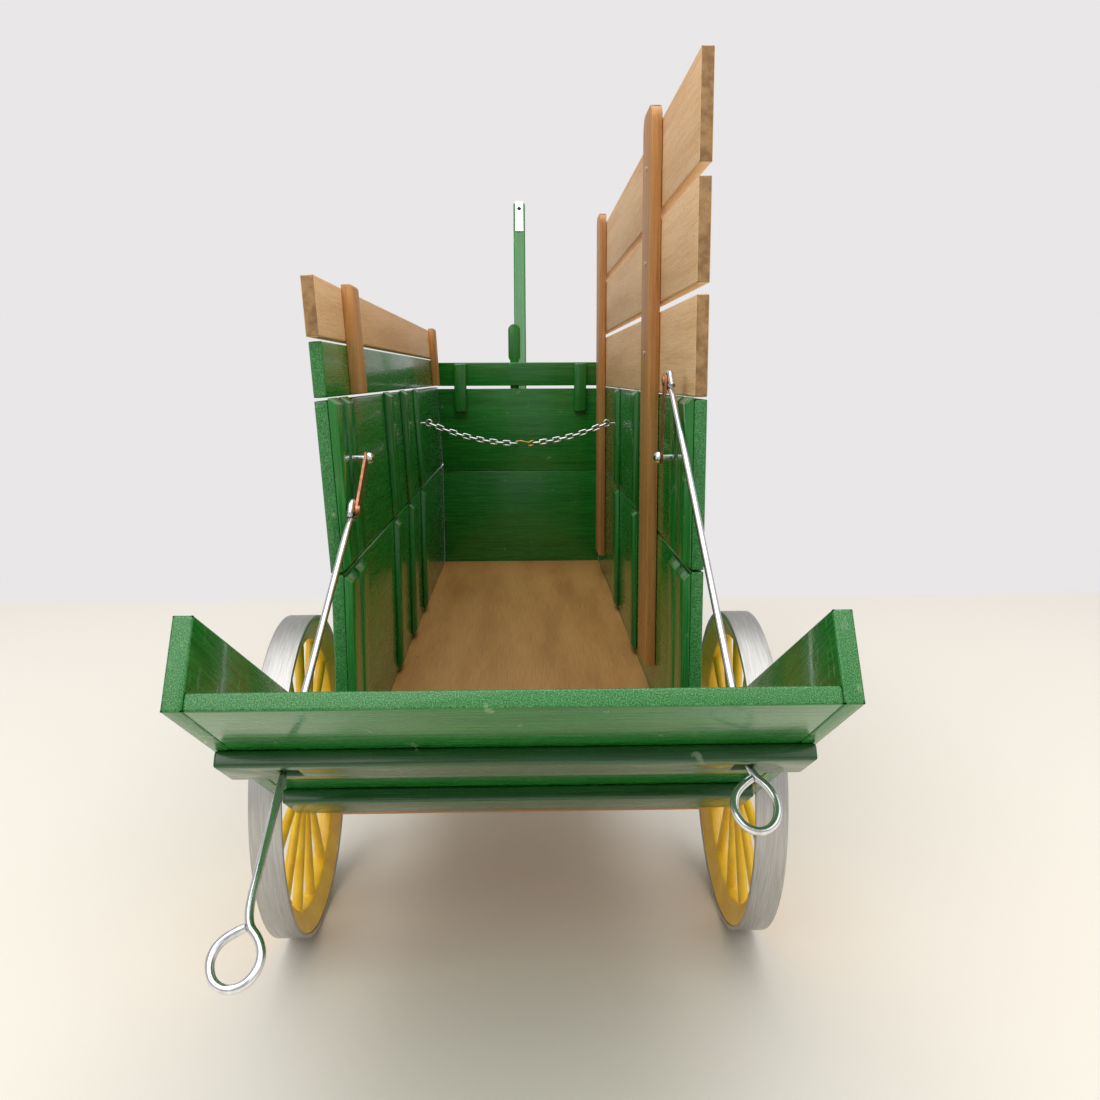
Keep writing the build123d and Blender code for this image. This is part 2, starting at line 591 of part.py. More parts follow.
# ---------------------------------------------------------------- assembly
make_box()
make_cleats()
make_left_extension()
make_front_gate()
make_bang_boards()
make_tailboard()
make_hinge()
make_stays()
make_chain()
make_wheels()
make_gear()
make_tongue()
for drilled in ("right_cleats", "left_cleats"):
    nodes[drilled] = nodes[drilled] - nodes["chain_eyes"] - nodes["stay_pins"]

whole = Compound(children=[solid for shape in nodes.values() for solid in shape.solids()])
box = whole.bounding_box()
ORIGIN = (round((box.min.X + box.max.X) / 2, 3), round((box.min.Y + box.max.Y) / 2, 3),
          round(box.min.Z, 3))
os.makedirs("parts", exist_ok=True)
for name, shape in nodes.items():
    solids = shape.solids()
    moved = Pos(-ORIGIN[0], -ORIGIN[1], -ORIGIN[2]) * Compound(children=list(solids))
    export_step(moved if len(solids) > 1 else moved.solids()[0], f"parts/{name}.step")
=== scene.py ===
import json
from math import cos, pi, radians, sin

import bpy
from mathutils import Matrix, Vector

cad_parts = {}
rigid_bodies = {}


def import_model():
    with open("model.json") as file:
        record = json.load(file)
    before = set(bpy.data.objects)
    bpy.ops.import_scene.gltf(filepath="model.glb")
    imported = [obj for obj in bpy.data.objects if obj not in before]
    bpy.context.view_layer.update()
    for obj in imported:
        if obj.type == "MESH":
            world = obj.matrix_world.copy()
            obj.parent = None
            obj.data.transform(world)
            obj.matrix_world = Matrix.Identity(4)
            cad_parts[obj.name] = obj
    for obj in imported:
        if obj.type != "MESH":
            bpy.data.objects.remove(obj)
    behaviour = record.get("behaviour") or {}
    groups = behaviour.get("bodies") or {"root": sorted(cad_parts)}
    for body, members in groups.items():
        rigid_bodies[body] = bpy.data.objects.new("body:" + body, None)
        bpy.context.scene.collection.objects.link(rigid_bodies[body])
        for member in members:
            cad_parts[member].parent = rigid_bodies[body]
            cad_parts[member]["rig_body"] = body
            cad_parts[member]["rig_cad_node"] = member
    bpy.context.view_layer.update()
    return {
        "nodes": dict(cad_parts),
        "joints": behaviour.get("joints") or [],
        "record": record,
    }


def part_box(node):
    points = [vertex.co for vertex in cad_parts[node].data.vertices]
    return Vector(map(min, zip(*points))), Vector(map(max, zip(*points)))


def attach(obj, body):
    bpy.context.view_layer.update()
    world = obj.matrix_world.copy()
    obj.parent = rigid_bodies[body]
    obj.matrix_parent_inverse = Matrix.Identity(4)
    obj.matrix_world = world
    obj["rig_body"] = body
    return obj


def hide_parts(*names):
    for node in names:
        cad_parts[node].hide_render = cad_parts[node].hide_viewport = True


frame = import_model()

# A one-sixth scale grain wagon. Everything is in metres in the wagon's own frame: x across,
# +y towards the tongue, z up, with the ground at zero.
MM = 0.001
ALONG, ACROSS, UP = Vector((0, 1, 0)), Vector((1, 0, 0)), Vector((0, 0, 1))
TAIL_TILT = radians(-32.5)      # the open tailboard falls towards the box
TONGUE_TILT = radians(72)       # the tongue stands raised
node_slots = {part["node"]: part["material_slot"] for part in frame["record"]["subparts"]}


# ---------------------------------------------------------------- camera, lights and floor
CAMERA_AT = Vector((0.0032, -0.7816, 0.3069))
CAMERA_YAW, CAMERA_PITCH, CAMERA_ROLL = 0.0253, 0.1687, -0.0038    # radians
LENS_MM = 33.33
SENSOR_MM = 36.0
NEAREST_SEEN = 0.02
LIGHT_AIM = Vector((0, 0, 0.15))        # the middle of the wagon


def set_camera():
    data = bpy.data.cameras.new("camera")
    data.lens, data.sensor_width, data.clip_start = LENS_MM, SENSOR_MM, NEAREST_SEEN
    camera = bpy.data.objects.new("camera", data)
    bpy.context.scene.collection.objects.link(camera)
    ahead = Vector((sin(CAMERA_YAW) * cos(CAMERA_PITCH), cos(CAMERA_YAW) * cos(CAMERA_PITCH),
                    -sin(CAMERA_PITCH)))
    level = Vector((cos(CAMERA_YAW), -sin(CAMERA_YAW), 0))
    right = Matrix.Rotation(-CAMERA_ROLL, 3, ahead) @ level
    axes = Matrix((right, right.cross(ahead), -ahead)).transposed()
    camera.matrix_world = Matrix.Translation(CAMERA_AT) @ axes.to_4x4()
    bpy.context.scene.camera = camera


def soft_light(name, at, size, watts, colour):
    """Square soft box aimed at the middle of the wagon."""
    data = bpy.data.lights.new(name, "AREA")
    data.size, data.energy, data.color = size, watts, colour
    lamp = bpy.data.objects.new(name, data)
    bpy.context.scene.collection.objects.link(lamp)
    lamp.location = at
    aim = LIGHT_AIM - Vector(at)
    lamp.rotation_euler = aim.to_track_quat("-Z", "Y").to_euler()


def linear(colour):
    """An sRGB hex colour as linear red, green, blue and alpha."""
    parts = [int(colour[i:i + 2], 16) / 255 for i in (1, 3, 5)]
    return tuple(c / 12.92 if c <= 0.04045 else ((c + 0.055) / 1.055) ** 2.4 for c in parts) + (1.0,)


def add(tree, kind, feeds=(), stops=(), **settings):
    """Add a shader node with its settings, its ramp stops, and what feeds its sockets."""
    made = tree.nodes.new("ShaderNode" + kind)
    for name, value in settings.items():
        setattr(made, name, value)
    for i, (position, colour) in enumerate(stops):
        ramp = made.color_ramp.elements
        stop = ramp[i] if i < len(ramp) else ramp.new(position)
        stop.position, stop.color = position, colour
    for socket, value in dict(feeds).items():
        if isinstance(value, bpy.types.NodeSocket):
            tree.links.new(value, made.inputs[socket])
        else:
            made.inputs[socket].default_value = value
    return made


WALL_WHITE = "#ECEAEB"
PAPER_CREAM = "#EFEAE0"
WALL_GLOW = 0.97
FILL_GLOW = 0.62        # what the room gives the wagon, less than the wall shows the camera
FLOOR_SIZE = 12
FLOOR_END = 0.61        # the paper floor stops in front of the wagon, and the wall shows above it
WALL_START, WALL_FULL = FLOOR_END - 0.02, FLOOR_END + 0.03      # a soft line, as paper curves up
SOFT_BOXES = {          # place, width in metres, watts, colour
    "key_left": ((-0.9, -1.3, 1.7), 1.6, 15, (1.0, 0.98, 0.95)),
    "fill_right": ((1.2, -1.0, 1.6), 1.8, 8, (1.0, 0.97, 0.93)),
    "overhead": ((0.0, -0.1, 2.0), 2.0, 22, (1.0, 1.0, 1.0)),
}


def lay_floor():
    """Matt cream paper, slightly warm, that glows as the white wall beyond its far end."""
    bpy.ops.object.select_all(action="DESELECT")
    bpy.ops.mesh.primitive_plane_add(size=FLOOR_SIZE)
    floor = bpy.context.object
    floor.name = "paper_floor"
    material = bpy.data.materials.new("paper_floor")
    material.use_nodes = True
    tree = material.node_tree
    paper = tree.nodes["Principled BSDF"]
    paper.inputs["Roughness"].default_value = 0.7
    paper.inputs["Base Color"].default_value = linear(PAPER_CREAM)
    place = add(tree, "TexCoord")
    depth = add(tree, "SeparateXYZ", {0: place.outputs["Object"]})
    edge = add(tree, "MapRange", {0: depth.outputs[1], 1: WALL_START, 2: WALL_FULL})
    wall = add(tree, "Emission", {"Color": linear(WALL_WHITE), "Strength": WALL_GLOW})
    both = add(tree, "MixShader", {0: edge.outputs[0], 1: paper.outputs[0], 2: wall.outputs[0]})
    tree.links.new(both.outputs[0], tree.nodes["Material Output"].inputs["Surface"])
    floor.data.materials.append(material)


def light_studio():
    """A white room for the camera, a dimmer one for the surfaces, and three soft boxes."""
    world = bpy.data.worlds.new("soft_white_room")
    bpy.context.scene.world = world
    world.use_nodes = True
    tree = world.node_tree
    seen = tree.nodes["Background"]
    seen.inputs["Color"].default_value = linear(WALL_WHITE)
    seen.inputs["Strength"].default_value = WALL_GLOW
    fill = add(tree, "Background", {"Color": linear(WALL_WHITE), "Strength": FILL_GLOW})
    ray = add(tree, "LightPath")
    both = add(tree, "MixShader", {0: ray.outputs["Is Camera Ray"], 1: fill.outputs[0],
                                   2: seen.outputs[0]})
    tree.links.new(both.outputs[0], tree.nodes["World Output"].inputs["Surface"])
    for name, settings in SOFT_BOXES.items():
        soft_light(name, *settings)
    bpy.context.scene.view_settings.view_transform = "Standard"


# ---------------------------------------------------------------- finishes
def start_finish(name, roughness, **shader_values):
    """A new material with its uniform values set on the shader itself."""
    material = bpy.data.materials.new(name)
    material.use_nodes = True
    shader = material.node_tree.nodes["Principled BSDF"]
    shader.inputs["Roughness"].default_value = roughness
    for socket, value in shader_values.items():
        shader.inputs[socket.replace("_", " ")].default_value = value
    return material, material.node_tree, shader


def mottle(tree, sizes, tilt=0.0, detail=3.0):
    """Noise whose patches are sizes millimetres along x, y and z, turned by tilt about x."""
    place = add(tree, "TexCoord")
    turned = add(tree, "Mapping", {"Vector": place.outputs["Object"], "Rotation": (tilt, 0, 0),
                                   "Scale": [size * MM for size in sizes]}, vector_type="TEXTURE")
    return add(tree, "TexNoise", {"Vector": turned.outputs[0], "Scale": 1.0, "Detail": detail,
                                  "Roughness": 0.6}).outputs["Fac"]


def stretched(run, width, length):
    """Patch sizes that are long where the grain runs."""
    return [length if part else width for part in run]


def cut_end(tree, run, tilt):
    """One where a face cuts across the grain, nought on long faces."""
    grain = Matrix.Rotation(tilt, 3, "X") @ run
    place = add(tree, "TexCoord")
    facing = add(tree, "VectorMath", {0: place.outputs["Normal"], 1: grain}, operation="DOT_PRODUCT")
    square = add(tree, "Math", {0: facing.outputs["Value"]}, operation="ABSOLUTE")
    return add(tree, "Math", {0: square.outputs[0], 1: SQUARE_CUT}, operation="GREATER_THAN").outputs[0]


def blend_colours(tree, factor, first, second):
    return add(tree, "Mix", {0: factor, 6: first, 7: second}, data_type="RGBA").outputs[2]


NONE, HALF = (0, 0, 0, 1), (0.5, 0.5, 0.5, 1)       # ramp ends of a mask
SQUARE_CUT = 0.8        # a face this far across the grain counts as a cut end
# Rubbed patches of the enamel: their size in millimetres, where rubbing starts and is full.
LIGHT_RUB = ((7, 16, 7), 0.66, 0.72)
WING_RUB = ((6, 5, 18), 0.57, 0.68)     # more, and in upright streaks, on the scoop's wings


def brushed_green_enamel(run, tilt=0.0, name="brushed_green_enamel", sawn_way=None, rub=LIGHT_RUB,
                         dark=0.0):
    """Gloss oil enamel brushed on open-grained softwood: wet highlights broken by grain lines,
    pale rubbed patches, and a drier, finely pitted look where it soaked into the sawn ends. Real
    grain lines are 0.3 mm wide and pits 0.1 mm; both are drawn coarser, so that they show."""
    material, tree, shader = start_finish(name, 0.3, Coat_Weight=0.4, Coat_Roughness=0.1)
    fibres = mottle(tree, stretched(run, 0.9, 26), tilt, 4)
    brush = mottle(tree, stretched(run, 4.5, 110), tilt, 2)
    pits = mottle(tree, (0.45, 0.45, 0.45), tilt, 3)
    body = add(tree, "ValToRGB", {0: brush}, [(0.3, linear("#12641C")), (0.7, linear("#1F8029"))])
    lines = add(tree, "ValToRGB", {0: fibres}, [(0.4, linear("#0E5617")), (0.62, linear("#2A8C31"))])
    face = blend_colours(tree, 0.3, body.outputs[0], lines.outputs[0])
    sawn = add(tree, "ValToRGB", {0: pits}, [(0.36, linear("#0D4E18")), (0.5, linear("#1E7A2C")),
                                             (0.64, linear("#5AA260"))])
    end = cut_end(tree, sawn_way or run, tilt)
    painted = blend_colours(tree, end, face, sawn.outputs[0])
    # painted shade: dark blends the enamel this far towards near-black green; the battens use it to
    # paint the shade they sit in under the tailboard panel's overhang
    painted = blend_colours(tree, dark, painted, linear("#0A1C0B"))
    patch, low, high = rub
    worn = add(tree, "ValToRGB", {0: mottle(tree, patch, tilt, 7)},
               [(low, NONE), (high, HALF)])
    colour = blend_colours(tree, worn.outputs[0], painted, linear("#9DB893"))
    tree.links.new(colour, shader.inputs["Base Color"])
    gloss = add(tree, "MapRange", {0: fibres, 3: 0.18, 4: 0.36})
    rough = add(tree, "Math", {0: end, 1: 0.25, 2: gloss.outputs[0]}, operation="MULTIPLY_ADD")
    tree.links.new(rough.outputs[0], shader.inputs["Roughness"])
    raised = add(tree, "Bump", {"Strength": 0.3, "Distance": 0.2 * MM, "Height": fibres})
    pitted = add(tree, "Mix", {0: end, 2: brush, 3: pits})
    waves = add(tree, "Bump", {"Strength": 0.5, "Distance": 0.4 * MM, "Height": pitted.outputs[0],
                               "Normal": raised.outputs[0]})
    tree.links.new(waves.outputs[0], shader.inputs["Normal"])
    return material


def bare_wood(name, run, pale, mid, dark, end_dark, end_pale, figure=16.0, roughness=0.55):
    """Planed bare wood: long fine fibres over broad pale and dark growth bands, flecked with
    short pores, and darker, rough, grey-brown where the saw cut across the grain. The figure is
    the width of a growth band. Fibres and pores are drawn coarser than real ones, so that they
    show."""
    material, tree, shader = start_finish(name, roughness)
    bands = mottle(tree, stretched(run, figure, 260), 0, 2)
    fibres = mottle(tree, stretched(run, 0.8, 34), 0, 4)
    pores = mottle(tree, stretched(run, 0.5, 5), 0, 2)
    speckle = mottle(tree, (4.5, 4.5, 4.5), 0, 3)
    broad = add(tree, "ValToRGB", {0: bands}, [(0.32, linear(dark)), (0.5, linear(mid)),
                                               (0.68, linear(pale))])
    fine = add(tree, "ValToRGB", {0: fibres}, [(0.35, linear(dark)), (0.62, linear(pale))])
    face = blend_colours(tree, 0.4, broad.outputs[0], fine.outputs[0])
    flecks = add(tree, "ValToRGB", {0: pores}, [(0.3, HALF), (0.4, NONE)])
    face = blend_colours(tree, flecks.outputs[0], face, linear(end_dark))
    sawn = add(tree, "ValToRGB", {0: speckle}, [(0.36, linear(end_dark)), (0.64, linear(end_pale))])
    end = cut_end(tree, run, 0)
    tree.links.new(blend_colours(tree, end, face, sawn.outputs[0]), shader.inputs["Base Color"])
    relief = add(tree, "Mix", {0: end, 2: fibres, 3: speckle})
    raised = add(tree, "Bump", {"Strength": 0.4, "Distance": 0.3 * MM, "Height": relief.outputs[0]})
    tree.links.new(raised.outputs[0], shader.inputs["Normal"])
    return material


def basswood(run):
    """Pale creamy boards with a dry, matt face."""
    return bare_wood("bare_basswood", run, "#F2CFA0", "#E9BE8D", "#D6A36C", "#8A6640", "#AE895A")


def brown_stick(run):
    """Redder, darker battens with a narrow figure and the low sheen of rubbed-in oil."""
    return bare_wood("oiled_brown_batten", run, "#D6A062", "#C88F50", "#A46E38", "#7A4F28", "#B07E48",
                     figure=9.0, roughness=0.45)


def plywood_deck(run):
    """Golden-brown rotary-cut birch: wide, wandering figure under a thin satin seal."""
    return bare_wood("birch_plywood_deck", run, "#CB9A5C", "#BC874A", "#9C6A35", "#6A4524", "#A0733F",
                     figure=30.0, roughness=0.42)


def moulded_yellow_plastic():
    """Injection-moulded yellow styrene: deep, even colour with a satin skin, faint flow clouding
    and dulled patches from handling."""
    material, tree, shader = start_finish("moulded_yellow_plastic", 0.34, IOR=1.55)
    cloud = mottle(tree, (14, 14, 14), 0, 3)
    body = add(tree, "ValToRGB", {0: cloud}, [(0.3, linear("#EAB516")), (0.7, linear("#FBD22E"))])
    dust = add(tree, "ValToRGB", {0: mottle(tree, (1.2, 1.2, 1.2), 0, 4)},
               [(0.66, NONE), (0.8, (0.4, 0.4, 0.4, 1))])
    tree.links.new(blend_colours(tree, dust.outputs[0], body.outputs[0], linear("#A98B3C")),
                   shader.inputs["Base Color"])
    satin = add(tree, "MapRange", {0: cloud, 3: 0.26, 4: 0.44})
    tree.links.new(satin.outputs[0], shader.inputs["Roughness"])
    skin = add(tree, "Bump", {"Strength": 0.15, "Distance": 0.1 * MM,
                              "Height": mottle(tree, (1.6, 1.6, 1.6), 0, 2)})
    tree.links.new(skin.outputs[0], shader.inputs["Normal"])
    return material


def metal_finish(name, bright, dull, smooth, rough, sizes, pit):
    """Bare metal: clouded between a bright and a dull tone, with fine scratches and pits that
    break up its reflections."""
    material, tree, shader = start_finish(name, rough, Metallic=1.0)
    cloud = mottle(tree, sizes, 0, 5)
    tone = add(tree, "ValToRGB", {0: cloud}, [(0.35, linear(dull)), (0.62, linear(bright))])
    tree.links.new(tone.outputs[0], shader.inputs["Base Color"])
    wear = add(tree, "MapRange", {0: cloud, 1: 0.3, 2: 0.7, 3: rough, 4: smooth})
    tree.links.new(wear.outputs[0], shader.inputs["Roughness"])
    grit = add(tree, "Bump", {"Strength": pit, "Distance": 0.1 * MM,
                              "Height": mottle(tree, (0.6, 0.6, 0.6), 0, 4)})
    tree.links.new(grit.outputs[0], shader.inputs["Normal"])
    return material


# ---------------------------------------------------------------- dressing the wooden parts
BATTENS = ("tailboard_mid_batten", "tailboard_hinge_batten")
EXTENSION_BOARDS = ("bang_board_lower", "bang_board_middle", "bang_board_upper", "left_top_board")
POSTS = ("bang_board_uprights", "left_stakes")
GREEN_PARTS = {         # by the way their grain runs
    "along": ("right_lower_side", "left_lower_side", "right_upper_side", "left_upper_side",
              "left_third_board"),
    "across": ("front_gate_boards",),
    "up": ("right_cleats", "left_cleats", "front_gate_battens", "line_post"),
    "slope": ("tailboard_right_wing", "tailboard_left_wing"),
    "raised": ("tongue_pole",),
}
RUNS = {"along": (ALONG, 0.0), "across": (ACROSS, 0.0), "up": (UP, 0.0), "slope": (ALONG, TAIL_TILT),
        "raised": (ALONG, TONGUE_TILT)}


def dress(nodes, material):
    """Put a finish in the material slot of each of these nodes."""
    for name in nodes:
        mesh = frame["nodes"][name].data
        mesh.materials.clear()
        mesh.materials.append(material)


def dress_wood():
    for way, names in GREEN_PARTS.items():
        rub = WING_RUB if way == "slope" else LIGHT_RUB
        dress(names, brushed_green_enamel(*RUNS[way], name="brushed_green_" + way, rub=rub))
    dress(("tailboard_panel",), brushed_green_enamel(ACROSS, TAIL_TILT, "brushed_green_rough_edge",
                                                     sawn_way=ALONG))
    # the battens' enamel is darkened by painted shade, standing in for the shade under the tailboard
    # panel's overhang
    battens = brushed_green_enamel(ACROSS, TAIL_TILT, "brushed_green_batten_painted_shade", dark=0.55)
    dress(BATTENS, battens)
    dress(EXTENSION_BOARDS, basswood(ALONG))
    dress(POSTS, brown_stick(UP))
    dress(("floor_panel",), plywood_deck(ALONG))
    gear = {"across": ("floor_sills", "rear_bolster", "front_bolster", "rear_axle", "front_axle"),
            "along": ("reach", "hounds")}
    for way, names in gear.items():
        painted = [name for name in names if node_slots[name] == "green_paint"]
        dress(painted, brushed_green_enamel(*RUNS[way], name="brushed_green_gear_" + way))
        dress([name for name in names if name not in painted], brown_stick(RUNS[way][0]))


def dress_metal():
    """Mirror-bright zinc on the rods and chain, dull grey steel on hidden ironwork, pinkish rubbed
    copper on the links, and warm yellow brass on the chain's hook."""
    rod_zinc = metal_finish("bright_zinc_plate", "#EDEEEF", "#CDCFD1", 0.1, 0.24, (3, 12, 12), 0.08)
    old_steel = metal_finish("dull_mild_steel", "#A9A9A6", "#6E6C68", 0.35, 0.6, (3, 3, 3), 0.4)
    copper = metal_finish("rubbed_copper_strip", "#DE9C7C", "#AC6C4C", 0.3, 0.5, (1.5, 4, 4), 0.4)
    brass = metal_finish("drawn_brass_wire", "#C9A862", "#8E7440", 0.22, 0.4, (1, 1, 1), 0.2)
    dress(("stay_pins", "chain_eyes", "chain_left_links", "chain_right_links", "hinge_nuts",
           "tongue_tip_strap", "bang_board_nails", "rear_axle_nuts", "front_axle_nuts"), rod_zinc)
    dress(("hinge_rod", "hinge_brackets", "tailboard_straps", "rear_axle_pins", "front_axle_pins",
           "king_pin", "hound_bolts", "tongue_bolt"), old_steel)
    dress(("right_stay_link", "left_stay_link"), copper)
    dress(("chain_hook",), brass)
    return rod_zinc, old_steel


# ---------------------------------------------------------------- making pieces
def select_faces(piece, test):
    """In edit mode, select only the faces whose normal passes the test."""
    bpy.ops.mesh.select_mode(type="FACE")
    bpy.ops.mesh.select_all(action="DESELECT")
    bpy.ops.object.mode_set(mode="OBJECT")
    for face in piece.data.polygons:
        face.select = test(face.normal)
    bpy.ops.object.mode_set(mode="EDIT")


def finish_piece(piece, name, body, material, replaced=()):
    """Name the piece, give it its finish, and hand it to its body in the frame."""
    piece.name = name
    piece.data.name = name
    piece.data.materials.clear()
    piece.data.materials.append(material)
    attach(piece, body)
    if replaced:
        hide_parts(*replaced)


def shade(piece, angle=32):
    """Smooth shading, but for edges sharper than this angle in degrees."""
    bpy.ops.object.select_all(action="DESELECT")
    piece.select_set(True)
    bpy.context.view_layer.objects.active = piece
    bpy.ops.object.shade_smooth_by_angle(angle=radians(angle))


# ---------------------------------------------------------------- boards with eased edges
SHARP = radians(25)             # an edge that turns more than this is a cut edge
FLAT = radians(1)               # faces that turn less than this are one face
PAINTED_EDGE = 0.5 * MM         # width of the worn edge
BARE_EDGE = 0.45 * MM


def ease_boards(names, width):
    """Copies of the boards with their cut edges worn round, each standing for its own node."""
    for name in names:
        node = frame["nodes"][name]
        board = node.copy()
        board.data = node.data.copy()
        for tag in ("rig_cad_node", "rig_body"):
            del board[tag]
        bpy.context.scene.collection.objects.link(board)
        bpy.ops.object.select_all(action="DESELECT")
        board.select_set(True)
        bpy.context.view_layer.objects.active = board
        bpy.ops.object.mode_set(mode="EDIT")
        bpy.ops.mesh.select_all(action="SELECT")
        bpy.ops.mesh.remove_doubles(threshold=0.005 * MM)
        bpy.ops.mesh.dissolve_limited(angle_limit=FLAT)
        bpy.ops.mesh.select_mode(type="EDGE")
        bpy.ops.mesh.select_all(action="DESELECT")
        bpy.ops.mesh.edges_select_sharp(sharpness=SHARP)
        bpy.ops.mesh.bevel(offset=width, segments=2)
        bpy.ops.object.mode_set(mode="OBJECT")
        shade(board, 50)
        finish = node.data.materials[0]
        finish_piece(board, "eased_" + name, node["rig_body"], finish, [name])


# ---------------------------------------------------------------- stay rods
WIRE_R = 1.6 * MM
EYE_R = 3.9 * MM
RING_R = 9.5 * MM
RING_SQUASH = 0.84              # the pull ring is bent a little narrower than it is long
EYE_END = (2.4 * MM, 2.9 * MM)  # where the eye's cut end lies: below it and beside it
RING_END = (1.4 * MM, 0.4 * MM)
EYE_NECK, RING_NECK = 2 * MM, 3.5 * MM
STRAIGHT = 20 * MM              # the shaft bends only this near to the eye and the ring
CORNER = 1 / cos(pi / 8)        # control points of an eight-sided loop stand this far out


def bent_wire(points, radius):
    """Round wire along a smooth line, as a closed mesh."""
    bpy.ops.object.select_all(action="DESELECT")
    bpy.ops.curve.primitive_nurbs_path_add()
    wire = bpy.context.object
    line = wire.data.splines[0]
    line.points.add(len(points) - len(line.points))
    for knot, point in zip(line.points, points):
        knot.co = (*point, 1.0)
    line.use_endpoint_u, line.order_u, line.resolution_u = True, 3, 10
    wire.data.bevel_depth, wire.data.bevel_resolution, wire.data.use_fill_caps = radius, 4, True
    bpy.ops.object.convert(target="MESH")
    bpy.ops.object.mode_set(mode="EDIT")
    bpy.ops.mesh.select_all(action="SELECT")
    bpy.ops.mesh.remove_doubles(threshold=0.02 * MM)
    bpy.ops.mesh.normals_make_consistent(inside=False)
    bpy.ops.object.mode_set(mode="OBJECT")
    return wire


def loop_points(centre, towards, aside, radius, turns, narrow=1.0):
    """Corners round a loop; turn nought lies on the side that the shaft comes from."""
    return [centre + (towards * -cos(turn) + aside * sin(turn) * narrow) * radius * CORNER
            for turn in turns]


def make_stay_rods(zinc):
    """Each rod is one wire: an eye round its pivot, a long shaft and a pull ring at its end."""
    pivots = {joint["name"]: joint for joint in frame["joints"]}
    holes = {space["name"]: space["box_m"] for space in frame["record"]["physics"]["openings"]}
    for side in ("right", "left"):
        eye = Vector(pivots[side + "_rod_pivot"]["pos_m"])
        low, high = (Vector(corner) for corner in holes[side + "_ring_loop"])
        ring = (low + high) / 2
        down = (ring - eye).normalized()
        across_ring = (ACROSS - down * ACROSS.dot(down)).normalized()
        beside_eye = ACROSS.cross(down).normalized()
        eighths = [pi / 4 * i for i in range(1, 8)]
        eye_end = eye + down * (EYE_R + EYE_END[0]) - beside_eye * EYE_END[1]
        points = [eye_end, *reversed(loop_points(eye, -down, beside_eye, EYE_R, eighths))]
        neck = ring - down * (RING_R + RING_NECK)
        points += [eye + down * (EYE_R + EYE_NECK), eye + down * STRAIGHT, neck - down * STRAIGHT, neck]
        points += loop_points(ring, down, across_ring, RING_R, eighths, RING_SQUASH)
        points.append(ring - down * (RING_R + RING_END[0]) + across_ring * RING_END[1])
        rod = bent_wire(points, WIRE_R)
        shade(rod, 40)
        finish_piece(rod, side + "_bent_stay_rod", side + "_rod", zinc,
                     [side + "_stay_rod"])


# ---------------------------------------------------------------- wheels
HOOP_STEPS = 96
SPOKES = 14
TYRE_T = 2.0 * MM
BORE_R = 3.08 * MM
FELLOE_LIP = 0.6 * MM           # the tyre stands this far past the felloe on each side
FELLOE_SQUARE = 2.4 * MM        # the felloe's sides are square this deep, and then slope
FELLOE_DEPTH = 11.6 * MM
FELLOE_FLAT = 3 * MM            # half the width of its inner face
HUB_END_R, HUB_NECK_R, HUB_WAIST_R = 8.2 * MM, 9 * MM, 9.4 * MM      # inner half of the hub
HUB_RING_R = 11.4 * MM          # the raised ring that the spokes enter
HUB_NOSE_R, HUB_CAP_R, HUB_FACE_R = 8.6 * MM, 7.4 * MM, 7.2 * MM     # outer half of the hub
SPOKE_ROOT_R, SPOKE_TIP_R = 2.0 * MM, 2.9 * MM      # a spoke's own radius at the hub and the rim
SPOKE_START = 9 * MM            # distance from the axle
SPOKE_STOP = 12.4 * MM          # distance inside the tyre
FLARE = 2.2 * MM                # each end of a spoke swells over this length


def turned(outline, centre, edge):
    """Solid of revolution about x: the outline is spun round the wheel's axis, its sharp edges
    eased. The outline's points are (x, radius) and run round its section."""
    bpy.ops.object.select_all(action="DESELECT")
    bpy.ops.mesh.primitive_circle_add(vertices=len(outline), radius=1.0, fill_type="NOTHING")
    piece = bpy.context.object
    for vertex, (x, radius) in zip(piece.data.vertices, outline):
        vertex.co = (x, centre.y, centre.z + radius)
    bpy.ops.object.mode_set(mode="EDIT")
    bpy.ops.mesh.select_all(action="SELECT")
    bpy.ops.mesh.spin(steps=HOOP_STEPS, angle=2 * pi, center=(0, centre.y, centre.z), axis=(1, 0, 0))
    bpy.ops.mesh.select_all(action="SELECT")
    bpy.ops.mesh.remove_doubles(threshold=0.01 * MM)
    bpy.ops.mesh.normals_make_consistent(inside=False)
    bpy.ops.mesh.select_mode(type="EDGE")
    bpy.ops.mesh.select_all(action="DESELECT")
    bpy.ops.mesh.edges_select_sharp(sharpness=SHARP)
    bpy.ops.mesh.bevel(offset=edge, segments=3)
    bpy.ops.object.mode_set(mode="OBJECT")
    return piece


def join_solids(base, other):
    """Unite two overlapping solids into one skin."""
    bpy.ops.object.select_all(action="DESELECT")
    base.select_set(True)
    bpy.context.view_layer.objects.active = base
    union = base.modifiers.new("union", "BOOLEAN")
    union.operation, union.solver, union.object = "UNION", "EXACT", other
    union.use_self = True
    bpy.ops.object.modifier_apply(modifier=union.name)
    bpy.data.objects.remove(other)


